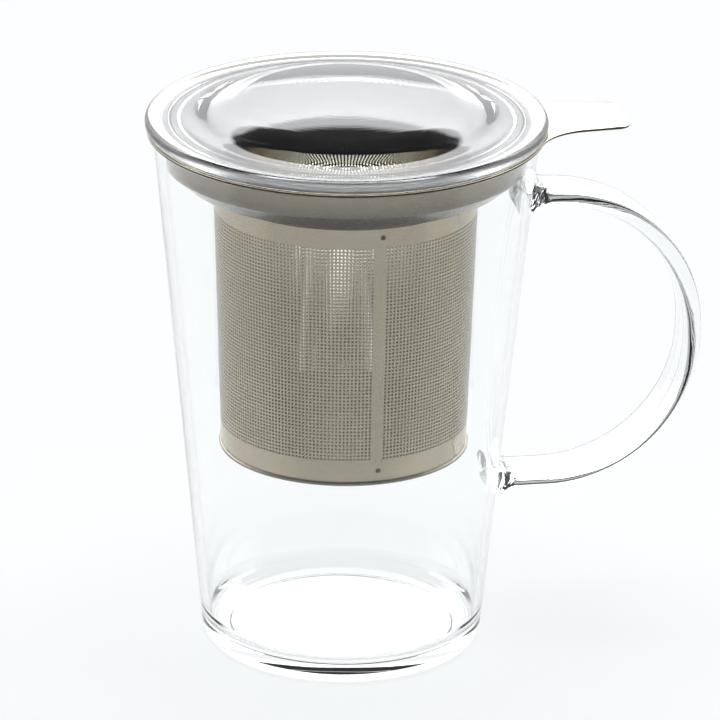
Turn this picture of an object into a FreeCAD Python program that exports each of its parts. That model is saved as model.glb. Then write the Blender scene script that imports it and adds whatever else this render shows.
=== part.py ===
import FreeCAD, Part
import math
import os
import re

import Sketcher

# A lidded glass tea mug with a steel infuser.
# +Z is up and z = 0 is the table. The mug's axis is the Z axis, and the handle and the grip tab
# point along +X. All lengths are millimetres.

doc = FreeCAD.newDocument("infuser_mug")

# Driving dimensions

SIZES = (
    ("cup_height", 124.4, "table to the rim of the cup"),
    ("cup_foot_radius", 32.4, "outside of the wall, drawn down to the table"),
    ("cup_rim_radius", 44.2, "outside of the wall at the rim"),
    ("cup_wall", 2.0, "glass thickness of the wall"),
    ("cup_floor", 4.0, "glass thickness under the tea"),
    ("foot_round", 3.4, "outer round where the wall meets the table"),
    ("floor_bevel", 3.0, "inner corner where the wall meets the floor"),
    ("rim_bevel", 0.6, "both edges of the rim"),
    ("foot_ring_radius", 26.6, "inner edge of the ring that the cup stands on"),
    ("foot_recess", 0.9, "hollow under the base, inside the ring"),

    ("strap_width", 12.0, "handle strap, across the hand"),
    ("strap_thickness", 4.2, "handle strap, out from the mug"),
    ("bow_radius", 34.2, "middle of the strap in both bends of the handle"),
    ("strap_bevel", 1.3, "long edges of the strap"),
    ("bow_centre_offset", 3.0, "cup's rim radius to the centre of both bends"),
    ("upper_bow_height", 73.2, "table to the centre of the upper bend"),
    ("lower_bow_height", 71.6, "table to the centre of the lower bend"),
    ("weld_pad_width", 15.0, "fused pad at each end of the strap, across the hand"),
    ("weld_pad_height", 7.4, "fused pad at each end of the strap, up and down"),
    ("weld_pad_reach", 2.2, "how far the pads stand out from the cup's wall"),
    ("weld_pad_bevel", 1.2, "edges of the pads"),

    ("flange_gap", 0.2, "cup rim to the underside of the flange"),
    ("sheet", 0.5, "thickness of the collar's pressed sheet"),
    ("flange_overhang", 1.45, "cup's rim radius to the outer edge of the collar's flange"),
    ("collar_side_gap", 0.5, "cup wall to the collar's side, just under the rim"),
    ("collar_depth", 10.6, "flange top to the foot of the collar's steep side"),
    ("collar_side_draw", 1.1, "how far the collar's steep side leans in on its way down"),
    ("collar_cone_drop", 2.6, "fall of the collar's shallow cone"),
    ("neck_length", 3.2, "collar neck inside the strainer's top band"),
    ("collar_bend", 1.4, "cut corner at the foot of the steep side, outside"),

    ("tab_length", 18.95, "flange's outer edge to the tip of the grip tab"),
    ("tab_tip_width", 17.4, "grip tab at its tip"),
    ("tab_root_width", 21.0, "grip tab where it leaves the flange"),
    ("tab_corner", 3.2, "round on the corners of the tip"),
    ("tab_root_round", 14.0, "fillet in plan between tab and flange"),

    ("mesh_sheet", 0.4, "thickness of the etched sheet"),
    ("strainer_top_radius", 30.4, "outside of the strainer at its upper edge"),
    ("strainer_foot_radius", 28.5, "outside of the strainer at its lower edge"),
    ("strainer_length", 62.3, "upper edge to lower edge"),
    ("top_band", 4.8, "plain band above the openings"),
    ("bottom_band", 5.2, "plain band under the openings"),
    ("wall_columns", 23, "openings round the wall, with one place left plain for the seam"),
    ("wall_rows", 6, "openings up the wall"),
    ("wall_opening", 1.8, "side of a square opening in the wall"),
    ("seam_width", 2.4, "lap of the rolled sheet"),
    ("seam_azimuth", -84.0, "degrees from the handle round to the seam"),
    ("locating_hole", 1.2, "diameter of the small round holes in the bands"),

    ("base_rim_height", 1.2, "turned-up edge of the base disc, inside the wall"),
    ("crimp_height", 0.8, "rolled edge under the strainer's wall"),
    ("crimp_lip", 0.45, "how far the rolled edge stands out"),
    ("base_rings", 3, "rings of openings round the middle one"),
    ("base_ring_growth", 6, "openings that each ring adds to the one inside it"),
    ("base_ring_pitch", 6.8, "spacing of the rings of openings in the base"),
    ("base_opening", 1.6, "side of a square opening in the base"),

    ("lid_overhang", 0.35, "flange's outer edge to the lid's outer edge"),
    ("lid_thickness", 3.1, "glass thickness of the lid"),
    ("dome_radius", 83.0, "radius of the dome's outer face"),
    ("dome_height", 6.4, "dome above the lid's flat rim"),
    ("dome_fillet", 26.0, "sweep between the flat rim and the dome, outer face"),
    ("lid_step_depth", 0.6, "locating step under the lid"),
    ("lid_step_gap", 0.6, "locating step to the inside of the collar"),
    ("lid_step_width", 2.4, "locating step, across"),
    ("lid_edge_bevel", 0.9, "upper and lower corners of the lid's edge"),
)

sheet = doc.addObject("Spreadsheet::Sheet", "Sizes")
for row, (alias, number, meaning) in enumerate(SIZES, start=1):
    sheet.set(f"A{row}", meaning)
    sheet.set(f"B{row}", str(number))
    sheet.setAlias(f"B{row}", alias)
doc.recompute()

ALIASES = {alias for alias, number, meaning in SIZES}


def formula(text):
    """Turn a formula written with plain names of sizes into a document expression."""
    def in_sheet(word):
        return f"Sizes.{word[0]}" if word[0] in ALIASES else word[0]

    return re.sub(r"[a-z_]+", in_sheet, text)


def size(text):
    """The number that a formula stands for now."""
    return float(sheet.evalExpression(formula(text)))


# Places that several pieces share, as formulas of the sizes

FLANGE_UNDER = "(cup_height + flange_gap)"
FLANGE_TOP = f"({FLANGE_UNDER} + sheet)"
LID_TOP = f"({FLANGE_TOP} + lid_thickness)"
CUP_TAPER = "((cup_rim_radius - cup_foot_radius) / cup_height)"
COLLAR_SIDE_FOOT = f"({FLANGE_TOP} - collar_depth)"
NECK_TOP = f"({COLLAR_SIDE_FOOT} - collar_cone_drop)"
STRAINER_FOOT = f"({NECK_TOP} - strainer_length)"
STRAINER_TAPER = "((strainer_top_radius - strainer_foot_radius) / strainer_length)"


def cup_outside(height):
    """Radius of the cup's outer face at a height."""
    return f"(cup_foot_radius + {CUP_TAPER} * ({height}))"


def strainer_inside(height):
    """Radius of the strainer wall's inner face at a height."""
    return f"(strainer_foot_radius - mesh_sheet + {STRAINER_TAPER} * ({height} - {STRAINER_FOOT}))"


FLANGE_RADIUS = "(cup_rim_radius + flange_overhang)"
COLLAR_TOP_RADIUS = f"({cup_outside(FLANGE_UNDER)} - cup_wall - collar_side_gap)"
COLLAR_STEP_RADIUS = f"({COLLAR_TOP_RADIUS} - collar_side_draw)"
NECK_FOOT = f"({NECK_TOP} - neck_length)"


# Helpers for bodies, sketches and edges

SAME_PLACE = 1e-4


def new_body(name):
    """A body for one piece, with the piece's name as its label."""
    body = doc.addObject("PartDesign::Body", name)
    body.Label = name
    return body


def origin_plane(body, role):
    for feature in body.Origin.OriginFeatures:
        if feature.Role == role:
            return feature
    raise ValueError(role)


def new_sketch(body, name, role):
    sketch = body.newObject("Sketcher::SketchObject", name)
    sketch.AttachmentSupport = (origin_plane(body, role), "")
    sketch.MapMode = "FlatFace"
    return sketch


def pin_point(sketch, geometry, end, place, tag):
    """Hold one end of a line or arc at a place given by two formulas."""
    for direction, axis, text in (("DistanceX", -2, place[0]), ("DistanceY", -1, place[1])):
        if text == "0":
            sketch.addConstraint(Sketcher.Constraint("PointOnObject", geometry, end, axis))
            continue
        index = sketch.addConstraint(
            Sketcher.Constraint(direction, -1, 1, geometry, end, size(text)))
        name = f"{tag}_{direction[-1].lower()}"
        sketch.renameConstraint(index, name)
        sketch.setExpression(f"Constraints.{name}", formula(text))


def outline(sketch, corners, arcs=()):
    """Closed outline through corners given as pairs of formulas.

    arcs maps the number of a side to (radius formula, height formula of its centre): that side
    is an arc about a centre on the upright axis.
    """
    arcs = dict(arcs)
    points = [FreeCAD.Vector(size(across), size(up), 0) for across, up in corners]
    count = len(points)
    for side in range(count):
        start = points[side]
        end = points[(side + 1) % count]
        if side in arcs:
            radius, centre_up = arcs[side]
            centre = FreeCAD.Vector(0, size(centre_up), 0)
            angles = sorted(math.atan2(p.y - centre.y, p.x) for p in (start, end))
            circle = Part.Circle(centre, FreeCAD.Vector(0, 0, 1), size(radius))
            sketch.addGeometry(Part.ArcOfCircle(circle, *angles), False)
        else:
            sketch.addGeometry(Part.LineSegment(start, end), False)
    ends = []
    for side in range(count):
        start = points[side]
        end = points[(side + 1) % count]
        runs_back = False
        if side in arcs:
            centre_up = size(arcs[side][1])
            start_angle = math.atan2(start.y - centre_up, start.x)
            end_angle = math.atan2(end.y - centre_up, end.x)
            runs_back = start_angle > end_angle
        ends.append((2, 1) if runs_back else (1, 2))
    for side in range(count):
        following = (side + 1) % count
        sketch.addConstraint(Sketcher.Constraint(
            "Coincident", side, ends[side][1], following, ends[following][0]))
    for side, corner in enumerate(corners):
        pin_point(sketch, side, ends[side][0], corner, f"corner{side}")
    for side, (radius, centre_up) in arcs.items():
        sketch.addConstraint(Sketcher.Constraint("PointOnObject", side, 3, -2))


def revolve(body, name, sketch):
    """Turn an outline once round the mug's axis."""
    feature = body.newObject("PartDesign::Revolution", name)
    feature.Profile = sketch
    feature.ReferenceAxis = (sketch, ["V_Axis"])
    feature.Angle = 360
    sketch.Visibility = False
    doc.recompute()
    return feature


def ring_edges(feature, rings):
    """Names of the round edges with the given (radius, height) formulas."""
    wanted = [(size(radius), size(height)) for radius, height in rings]
    names = []
    for number, edge in enumerate(feature.Shape.Edges, start=1):
        if edge.Degenerated or not isinstance(edge.Curve, Part.Circle):
            continue
        curve = edge.Curve
        for radius, height in wanted:
            level = abs(curve.Center.z - height) < SAME_PLACE
            if level and abs(curve.Radius - radius) < SAME_PLACE:
                names.append(f"Edge{number}")
    if len(names) != len(wanted):
        raise ValueError(f"{feature.Name}: {len(names)} of {len(wanted)} rings found")
    return names


def fillet(body, name, base, edges, radius):
    feature = body.newObject("PartDesign::Fillet", name)
    feature.Base = (base, edges)
    feature.Radius = size(radius)
    feature.setExpression("Radius", formula(radius))
    doc.recompute()
    return feature


def bevel(body, name, base, edges, width):
    feature = body.newObject("PartDesign::Chamfer", name)
    feature.Base = (base, edges)
    feature.Size = size(width)
    feature.setExpression("Size", formula(width))
    doc.recompute()
    return feature


# Cup

cup = new_body("mug_cup")
cup_sketch = new_sketch(cup, "cup_outline", "XZ_Plane")
outline(cup_sketch, (
    ("0", "foot_recess"),
    ("foot_ring_radius - foot_recess", "foot_recess"),
    ("foot_ring_radius", "0"),
    (cup_outside("0"), "0"),
    (cup_outside("cup_height"), "cup_height"),
    (f"{cup_outside('cup_height')} - cup_wall", "cup_height"),
    (f"{cup_outside('cup_floor')} - cup_wall", "cup_floor"),
    ("0", "cup_floor"),
))
cup_form = revolve(cup, "cup_form", cup_sketch)
foot_rounded = fillet(cup, "foot_rounding", cup_form,
                      ring_edges(cup_form, ((cup_outside("0"), "0"),)), "foot_round")
floor_corner = bevel(cup, "floor_corner", foot_rounded, ring_edges(
    foot_rounded, ((f"{cup_outside('cup_floor')} - cup_wall", "cup_floor"),)), "floor_bevel")
rim_polish = bevel(cup, "rim_polish", floor_corner, ring_edges(floor_corner, (
    (cup_outside("cup_height"), "cup_height"),
    (f"{cup_outside('cup_height')} - cup_wall", "cup_height"),
)), "rim_bevel")


# Handle: a strap swept along two bends, with a fused pad at each end, trimmed to the cup

handle = new_body("mug_handle")
UPPER_RUN = "(upper_bow_height + bow_radius)"
LOWER_RUN = "(lower_bow_height - bow_radius)"
STRAP_START = f"({cup_outside(LOWER_RUN)} - cup_wall)"
BOW_CENTRE = "(cup_rim_radius + bow_centre_offset)"

path = new_sketch(handle, "strap_path", "XZ_Plane")


def bow(height, start_angle, end_angle):
    centre = FreeCAD.Vector(size(BOW_CENTRE), size(height), 0)
    circle = Part.Circle(centre, FreeCAD.Vector(0, 0, 1), size("bow_radius"))
    return Part.ArcOfCircle(circle, start_angle, end_angle)


def path_point(reach, height):
    return FreeCAD.Vector(size(reach), size(height), 0)


OUTER_REACH = f"({BOW_CENTRE} + bow_radius)"
path.addGeometry(Part.LineSegment(path_point(STRAP_START, UPPER_RUN),
                                  path_point(BOW_CENTRE, UPPER_RUN)), False)
path.addGeometry(bow("upper_bow_height", 0, math.pi / 2), False)
path.addGeometry(Part.LineSegment(path_point(OUTER_REACH, "upper_bow_height"),
                                  path_point(OUTER_REACH, "lower_bow_height")), False)
path.addGeometry(bow("lower_bow_height", -math.pi / 2, 0), False)
path.addGeometry(Part.LineSegment(path_point(BOW_CENTRE, LOWER_RUN),
                                  path_point(STRAP_START, LOWER_RUN)), False)
for joint in ((0, 2, 1, 2), (1, 1, 2, 1), (2, 2, 3, 2), (3, 1, 4, 1)):
    path.addConstraint(Sketcher.Constraint("Coincident", *joint))
pin_point(path, 0, 1, (STRAP_START, UPPER_RUN), "upper_end")
pin_point(path, 4, 2, (STRAP_START, LOWER_RUN), "lower_end")
pin_point(path, 1, 3, (BOW_CENTRE, "upper_bow_height"), "upper_bow")
pin_point(path, 3, 3, (BOW_CENTRE, "lower_bow_height"), "lower_bow")
pin_point(path, 0, 2, (BOW_CENTRE, UPPER_RUN), "upper_turn")
pin_point(path, 4, 1, (BOW_CENTRE, LOWER_RUN), "lower_turn")
path.addConstraint(Sketcher.Constraint("Horizontal", 1, 3, 1, 1))
path.addConstraint(Sketcher.Constraint("Horizontal", 3, 3, 3, 2))

section = new_sketch(handle, "strap_section", "YZ_Plane")
section.AttachmentOffset = FreeCAD.Placement(
    FreeCAD.Vector(0, size(UPPER_RUN), size(STRAP_START)), FreeCAD.Rotation())
section.setExpression("AttachmentOffset.Base.y", formula(UPPER_RUN))
section.setExpression("AttachmentOffset.Base.z", formula(STRAP_START))
HALF_WIDTH = "strap_width / 2"
HALF_THICK = "strap_thickness / 2"
outline(section, (
    (f"{HALF_WIDTH}", f"strap_bevel - {HALF_THICK}"),
    (f"{HALF_WIDTH}", f"{HALF_THICK} - strap_bevel"),
    (f"{HALF_WIDTH} - strap_bevel", f"{HALF_THICK}"),
    (f"strap_bevel - {HALF_WIDTH}", f"{HALF_THICK}"),
    (f"-{HALF_WIDTH}", f"{HALF_THICK} - strap_bevel"),
    (f"-{HALF_WIDTH}", f"strap_bevel - {HALF_THICK}"),
    (f"strap_bevel - {HALF_WIDTH}", f"-{HALF_THICK}"),
    (f"{HALF_WIDTH} - strap_bevel", f"-{HALF_THICK}"),
))
doc.recompute()

strap = handle.newObject("PartDesign::AdditivePipe", "strap")
strap.Profile = section
strap.Spine = path
doc.recompute()


def weld_pad(name, run_height):
    """A fused pad of glass that follows the strap's end out from the cup's wall."""
    sketch = new_sketch(handle, f"{name}_outline", "YZ_Plane")
    half_width = "weld_pad_width / 2"
    low = f"({run_height} - weld_pad_height / 2)"
    high = f"({run_height} + weld_pad_height / 2)"
    outline(sketch, (
        (f"-{half_width}", low),
        (half_width, low),
        (half_width, high),
        (f"-{half_width}", high),
    ))
    pad = handle.newObject("PartDesign::Pad", name)
    pad.Profile = sketch
    pad.Type = 0
    reach = f"{cup_outside(run_height)} + weld_pad_reach"
    pad.Length = size(reach)
    pad.setExpression("Length", formula(reach))
    doc.recompute()
    return pad


upper_pad = weld_pad("upper_weld_pad", UPPER_RUN)
lower_pad = weld_pad("lower_weld_pad", LOWER_RUN)

inside_sketch = new_sketch(handle, "cup_inside_outline", "XZ_Plane")
TRIM_TOP = "(cup_height * 1.1)"
outline(inside_sketch, (
    ("0", "0"),
    (cup_outside("0"), "0"),
    (cup_outside(TRIM_TOP), TRIM_TOP),
    ("0", TRIM_TOP),
))
trim = handle.newObject("PartDesign::Groove", "trim_to_cup")
trim.Profile = inside_sketch
trim.ReferenceAxis = (inside_sketch, ["V_Axis"])
trim.Angle = 360
doc.recompute()


def pad_edges(feature):
    """Names of the straight edges that run between the sides of the two pads."""
    side = size("weld_pad_width / 2")
    names = []
    for number, edge in enumerate(feature.Shape.Edges, start=1):
        if isinstance(edge.Curve, Part.Line) and all(
                abs(abs(corner.Point.y) - side) < SAME_PLACE for corner in edge.Vertexes):
            names.append(f"Edge{number}")
    return names


pad_corners = bevel(handle, "pad_corners", trim, pad_edges(trim), "weld_pad_bevel")


# Lid: flat rim, low dome of even thickness, shallow locating step inside the collar

lid = new_body("lid_glass")
lid_sketch = new_sketch(lid, "lid_outline", "XZ_Plane")
DOME_CENTRE = f"({LID_TOP} + dome_height - dome_radius)"
INNER_DOME = "(dome_radius - lid_thickness)"
DOME_FOOT = f"sqrt(dome_radius ^ 2 - ({LID_TOP} - {DOME_CENTRE}) ^ 2)"
INNER_FOOT = f"sqrt({INNER_DOME} ^ 2 - ({FLANGE_TOP} - {DOME_CENTRE}) ^ 2)"
STEP_OUTER = f"({COLLAR_TOP_RADIUS} - sheet - lid_step_gap)"
STEP_INNER = f"({STEP_OUTER} - lid_step_width)"
STEP_FOOT = f"({FLANGE_TOP} - lid_step_depth)"
LID_RADIUS = f"({FLANGE_RADIUS} + lid_overhang)"
outline(lid_sketch, (
    ("0", f"{DOME_CENTRE} + {INNER_DOME}"),
    (INNER_FOOT, FLANGE_TOP),
    (STEP_INNER, FLANGE_TOP),
    (STEP_INNER, STEP_FOOT),
    (STEP_OUTER, STEP_FOOT),
    (STEP_OUTER, FLANGE_TOP),
    (LID_RADIUS, FLANGE_TOP),
    (LID_RADIUS, LID_TOP),
    (DOME_FOOT, LID_TOP),
    ("0", f"{LID_TOP} + dome_height"),
), {0: (INNER_DOME, DOME_CENTRE), 8: ("dome_radius", DOME_CENTRE)})
lid_form = revolve(lid, "lid_form", lid_sketch)
dome_swept = fillet(lid, "dome_sweep", lid_form,
                    ring_edges(lid_form, ((DOME_FOOT, LID_TOP),)), "dome_fillet")
lid_edge = bevel(lid, "lid_edge", dome_swept, ring_edges(
    dome_swept, ((LID_RADIUS, FLANGE_TOP), (LID_RADIUS, LID_TOP))), "lid_edge_bevel")


# Collar: pressed bowl with a flat flange, a shallow cone and a neck, and the grip tab

collar = new_body("infuser_collar")
collar_sketch = new_sketch(collar, "collar_outline", "XZ_Plane")
outline(collar_sketch, (
    (FLANGE_RADIUS, FLANGE_UNDER),
    (FLANGE_RADIUS, FLANGE_TOP),
    (f"{COLLAR_TOP_RADIUS} - sheet", FLANGE_TOP),
    (f"{COLLAR_STEP_RADIUS} - sheet", f"{COLLAR_SIDE_FOOT} + sheet"),
    (f"{strainer_inside(NECK_TOP)} - sheet", f"{NECK_TOP} + sheet"),
    (f"{strainer_inside(NECK_FOOT)} - sheet", NECK_FOOT),
    (strainer_inside(NECK_FOOT), NECK_FOOT),
    (strainer_inside(NECK_TOP), NECK_TOP),
    (COLLAR_STEP_RADIUS, COLLAR_SIDE_FOOT),
    (COLLAR_TOP_RADIUS, FLANGE_UNDER),
))
collar_form = revolve(collar, "collar_form", collar_sketch)

tab_sketch = new_sketch(collar, "tab_outline", "XY_Plane")
tab_sketch.AttachmentOffset = FreeCAD.Placement(
    FreeCAD.Vector(0, 0, size(FLANGE_UNDER)), FreeCAD.Rotation())
tab_sketch.setExpression("AttachmentOffset.Base.z", formula(FLANGE_UNDER))
TAB_ROOT = f"(({FLANGE_RADIUS} + {COLLAR_TOP_RADIUS}) / 2)"
TAB_REACH = f"({FLANGE_RADIUS} + tab_length)"
outline(tab_sketch, (
    (TAB_ROOT, "-tab_root_width / 2"),
    (TAB_REACH, "-tab_tip_width / 2"),
    (TAB_REACH, "tab_tip_width / 2"),
    (TAB_ROOT, "tab_root_width / 2"),
))
tab = collar.newObject("PartDesign::Pad", "grip_tab")
tab.Profile = tab_sketch
tab.Length = size("sheet")
tab.setExpression("Length", formula("sheet"))
doc.recompute()


def upright_edges(feature, nearest, farthest):
    """Names of the two upright edges whose reach from the axis lies between two formulas."""
    names = []
    for number, edge in enumerate(feature.Shape.Edges, start=1):
        if edge.Degenerated or not isinstance(edge.Curve, Part.Line):
            continue
        start, end = edge.Vertexes[0].Point, edge.Vertexes[-1].Point
        upright = abs(start.x - end.x) < SAME_PLACE and abs(start.y - end.y) < SAME_PLACE
        if upright and size(nearest) < math.hypot(start.x, start.y) < size(farthest):
            names.append(f"Edge{number}")
    if len(names) != 2:
        raise ValueError(f"{feature.Name}: {len(names)} of 2 upright edges found")
    return names


TAB_MIDDLE = f"({FLANGE_RADIUS} + tab_length / 2)"
tab_roots = fillet(collar, "tab_roots", tab, upright_edges(
    tab, f"{FLANGE_RADIUS} * 0.98", TAB_MIDDLE), "tab_root_round")
tab_corners = fillet(collar, "tab_corners", tab_roots, upright_edges(
    tab_roots, TAB_REACH, f"{TAB_REACH} * 1.2"), "tab_corner")
outer_bend = bevel(collar, "outer_bend", tab_corners, ring_edges(
    tab_corners, ((COLLAR_STEP_RADIUS, COLLAR_SIDE_FOOT),)), "collar_bend")
INNER_BEND = (f"{COLLAR_STEP_RADIUS} - sheet", f"{COLLAR_SIDE_FOOT} + sheet")
inner_bend = bevel(collar, "inner_bend", outer_bend, ring_edges(
    outer_bend, (INNER_BEND,)), "collar_bend - sheet / 2")


# Strainer wall: an etched sheet rolled to a taper, lapped at the seam, with rows of openings.
# The real mesh has far more and smaller openings; these stand for them at a workable count.

blank = new_body("strainer_wall_blank")
wall_sketch = new_sketch(blank, "wall_outline", "XZ_Plane")
outline(wall_sketch, (
    (strainer_inside(STRAINER_FOOT), STRAINER_FOOT),
    ("strainer_foot_radius", STRAINER_FOOT),
    ("strainer_top_radius", NECK_TOP),
    (strainer_inside(NECK_TOP), NECK_TOP),
))
wall_form = revolve(blank, "wall_form", wall_sketch)

COLUMN_STEP = "(360 / (wall_columns + 1))"
ROW_STEP = "((strainer_length - top_band - bottom_band) / wall_rows)"
FIRST_OPENING = f"({STRAINER_FOOT} + bottom_band + ({ROW_STEP} - wall_opening) / 2)"


def turned(sketch, degrees):
    """Turn a sketch on an upright plane about the mug's axis."""
    sketch.AttachmentOffset = FreeCAD.Placement(
        FreeCAD.Vector(), FreeCAD.Rotation(FreeCAD.Vector(0, 1, 0), size(degrees)))
    sketch.setExpression("AttachmentOffset.Rotation.Angle", formula(degrees))


def cut_outward(body, name, sketch):
    """Cut a sketch on an upright plane through the wall on its front side only."""
    before = body.Shape.Volume
    cut = body.newObject("PartDesign::Pocket", name)
    cut.Profile = sketch
    cut.Type = 1
    cut.Reversed = True
    doc.recompute()
    if cut.Shape.Volume >= before:
        raise ValueError(f"{name} cuts nothing")
    return cut


seam_sketch = new_sketch(blank, "seam_outline", "XZ_Plane")
outline(seam_sketch, (
    ("strainer_foot_radius - mesh_sheet / 2", STRAINER_FOOT),
    ("strainer_foot_radius + mesh_sheet", STRAINER_FOOT),
    ("strainer_top_radius + mesh_sheet", NECK_TOP),
    ("strainer_top_radius - mesh_sheet / 2", NECK_TOP),
))
turned(seam_sketch, "seam_azimuth")
seam = blank.newObject("PartDesign::Revolution", "lap_seam")
seam.Profile = seam_sketch
seam.ReferenceAxis = (seam_sketch, ["V_Axis"])
seam.Midplane = True
SEAM_SPAN = "(seam_width / strainer_top_radius * 180 / pi)"
seam.Angle = size(SEAM_SPAN)
seam.setExpression("Angle", formula(SEAM_SPAN))
doc.recompute()

dots_sketch = new_sketch(blank, "locating_holes_outline", "YZ_Plane")
BAND_MIDDLES = (f"{NECK_TOP} - top_band / 2", f"{STRAINER_FOOT} + bottom_band / 2")
for number, height in enumerate(BAND_MIDDLES):
    dot = Part.Circle(FreeCAD.Vector(0, size(height), 0), FreeCAD.Vector(0, 0, 1),
                      size("locating_hole / 2"))
    dots_sketch.addGeometry(dot, False)
    pin_point(dots_sketch, number, 3, ("0", height), f"dot{number}")
    across = dots_sketch.addConstraint(Sketcher.Constraint(
        "Radius", number, size("locating_hole / 2")))
    dots_sketch.setExpression(f"Constraints[{across}]", formula("locating_hole / 2"))
turned(dots_sketch, "seam_azimuth")
dots = cut_outward(blank, "locating_holes", dots_sketch)


def wall_openings():
    """Wedges that cut the openings: columns round the wall, with the seam's place left plain."""
    step = size(COLUMN_STEP)
    wide = size("wall_opening / strainer_foot_radius * 180 / pi")
    inner = size("strainer_foot_radius * 0.85")
    outer = size("strainer_top_radius * 1.1")
    blocks = []
    for column in range(int(size("wall_columns"))):
        middle = size("seam_azimuth") + (column + 1) * step
        sides = [math.radians(middle - wide / 2), math.radians(middle + wide / 2)]
        for row in range(int(size("wall_rows"))):
            height = size(f"{FIRST_OPENING} + {row} * {ROW_STEP}")
            corners = [FreeCAD.Vector(reach * math.cos(side), reach * math.sin(side), height)
                       for reach, side in ((inner, sides[0]), (outer, sides[0]),
                                           (outer, sides[1]), (inner, sides[1]))]
            plan = Part.Face(Part.makePolygon(corners + corners[:1]))
            blocks.append(plan.extrude(FreeCAD.Vector(0, 0, size("wall_opening"))))
    return Part.makeCompound(blocks)


opening_blocks = doc.addObject("Part::Feature", "wall_opening_blocks")
opening_blocks.Shape = wall_openings()
wall = doc.addObject("Part::Cut", "strainer_wall")
wall.Label = "strainer_wall"
wall.Base = blank
wall.Tool = opening_blocks
doc.recompute()


# Strainer base: an etched disc with a turned-up edge inside the wall and a rolled edge under it

base = new_body("strainer_base")
base_sketch = new_sketch(base, "base_outline", "XZ_Plane")
BASE_UNDER = f"({STRAINER_FOOT} - crimp_height)"
BASE_RIM_TOP = f"({STRAINER_FOOT} + base_rim_height)"
outline(base_sketch, (
    ("0", BASE_UNDER),
    ("strainer_foot_radius + crimp_lip", BASE_UNDER),
    ("strainer_foot_radius + crimp_lip", STRAINER_FOOT),
    (strainer_inside(STRAINER_FOOT), STRAINER_FOOT),
    (strainer_inside(BASE_RIM_TOP), BASE_RIM_TOP),
    (f"{strainer_inside(BASE_RIM_TOP)} - mesh_sheet", BASE_RIM_TOP),
    (f"{strainer_inside(STRAINER_FOOT)} - mesh_sheet", f"{BASE_UNDER} + mesh_sheet"),
    ("0", f"{BASE_UNDER} + mesh_sheet"),
))
base_form = revolve(base, "base_form", base_sketch)

for ring in range(int(size("base_rings")) + 1):
    ring_sketch = new_sketch(base, f"ring{ring}_outline", "XY_Plane")
    middle = f"{ring} * base_ring_pitch"
    outline(ring_sketch, (
        (f"{middle} - base_opening / 2", "-base_opening / 2"),
        (f"{middle} + base_opening / 2", "-base_opening / 2"),
        (f"{middle} + base_opening / 2", "base_opening / 2"),
        (f"{middle} - base_opening / 2", "base_opening / 2"),
    ))
    hole = cut_outward(base, f"ring{ring}_opening", ring_sketch)
    if ring == 0:
        continue
    pattern = base.newObject("PartDesign::PolarPattern", f"ring{ring}_openings")
    pattern.Originals = [hole]
    pattern.Axis = (ring_sketch, ["N_Axis"])
    pattern.Angle = 360
    pattern.Occurrences = int(size("base_ring_growth")) * ring
    base.Tip = pattern
    doc.recompute()


# Checks, then one STEP file for each piece

PIECES = (cup, handle, lid, collar, wall, base)
for thing in doc.Objects:
    if {"Invalid", "Error"} & set(thing.State):
        raise RuntimeError(f"{thing.Name} failed: {thing.State}")
for piece in PIECES:
    if piece.Shape.isNull() or not piece.Shape.isValid() or len(piece.Shape.Solids) != 1:
        raise RuntimeError(f"{piece.Label} isn't one valid solid")

os.makedirs("parts", exist_ok=True)
for piece in PIECES:
    piece.Shape.exportStep(f"parts/{piece.Label}.step")
    print(f"{piece.Label}: {piece.Shape.Volume:.1f} mm3")
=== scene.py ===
import math

import bmesh
import bpy
from mathutils import Matrix, Vector


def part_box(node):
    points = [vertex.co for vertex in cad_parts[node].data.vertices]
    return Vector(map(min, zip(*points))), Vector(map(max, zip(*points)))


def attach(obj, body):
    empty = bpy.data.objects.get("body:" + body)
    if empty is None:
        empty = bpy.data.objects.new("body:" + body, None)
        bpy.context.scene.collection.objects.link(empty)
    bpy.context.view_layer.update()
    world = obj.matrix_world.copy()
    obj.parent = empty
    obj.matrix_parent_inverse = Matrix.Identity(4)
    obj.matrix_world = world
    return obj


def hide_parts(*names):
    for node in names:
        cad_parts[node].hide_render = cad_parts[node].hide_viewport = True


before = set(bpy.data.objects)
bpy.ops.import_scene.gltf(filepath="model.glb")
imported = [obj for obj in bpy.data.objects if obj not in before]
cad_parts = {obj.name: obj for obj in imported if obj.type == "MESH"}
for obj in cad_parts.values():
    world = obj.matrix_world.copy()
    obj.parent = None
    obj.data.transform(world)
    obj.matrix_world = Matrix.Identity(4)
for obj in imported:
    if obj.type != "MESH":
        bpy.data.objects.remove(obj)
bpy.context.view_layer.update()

MM = 0.001

# Sizes read from the frame, in metres

CUP_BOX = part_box("mug_cup")
HANDLE_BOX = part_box("mug_handle")
LID_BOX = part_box("lid_glass")
COLLAR_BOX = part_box("infuser_collar")
WALL_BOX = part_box("strainer_wall")
BASE_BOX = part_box("strainer_base")

CUP_HEIGHT = CUP_BOX[1][2]
HANDLE_REACH = HANDLE_BOX[1][0]
LID_RADIUS = LID_BOX[1][1]
LID_STEP_FOOT = LID_BOX[0][2]
TAB_REACH = COLLAR_BOX[1][0]
FLANGE_TOP = COLLAR_BOX[1][2]
NECK_FOOT = COLLAR_BOX[0][2]
NECK_TOP = WALL_BOX[1][2]
STRAINER_FOOT = WALL_BOX[0][2]
BASE_UNDER = BASE_BOX[0][2]
BASE_RIM_TOP = BASE_BOX[1][2]

# Sizes that the frame's boxes don't give

CUP_RIM_RADIUS = 44.2 * MM
CUP_FOOT_RADIUS = 32.4 * MM
CUP_WALL = 2.0 * MM
CUP_FLOOR = 4.0 * MM
FOOT_ROUND = 3.4 * MM
FLOOR_ROUND = 5.0 * MM
FOOT_RING = 26.6 * MM
FOOT_RECESS = 0.9 * MM
FOOT_RING_ROUND = 0.5 * MM
RIM_ROUND = 0.9 * MM

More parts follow.
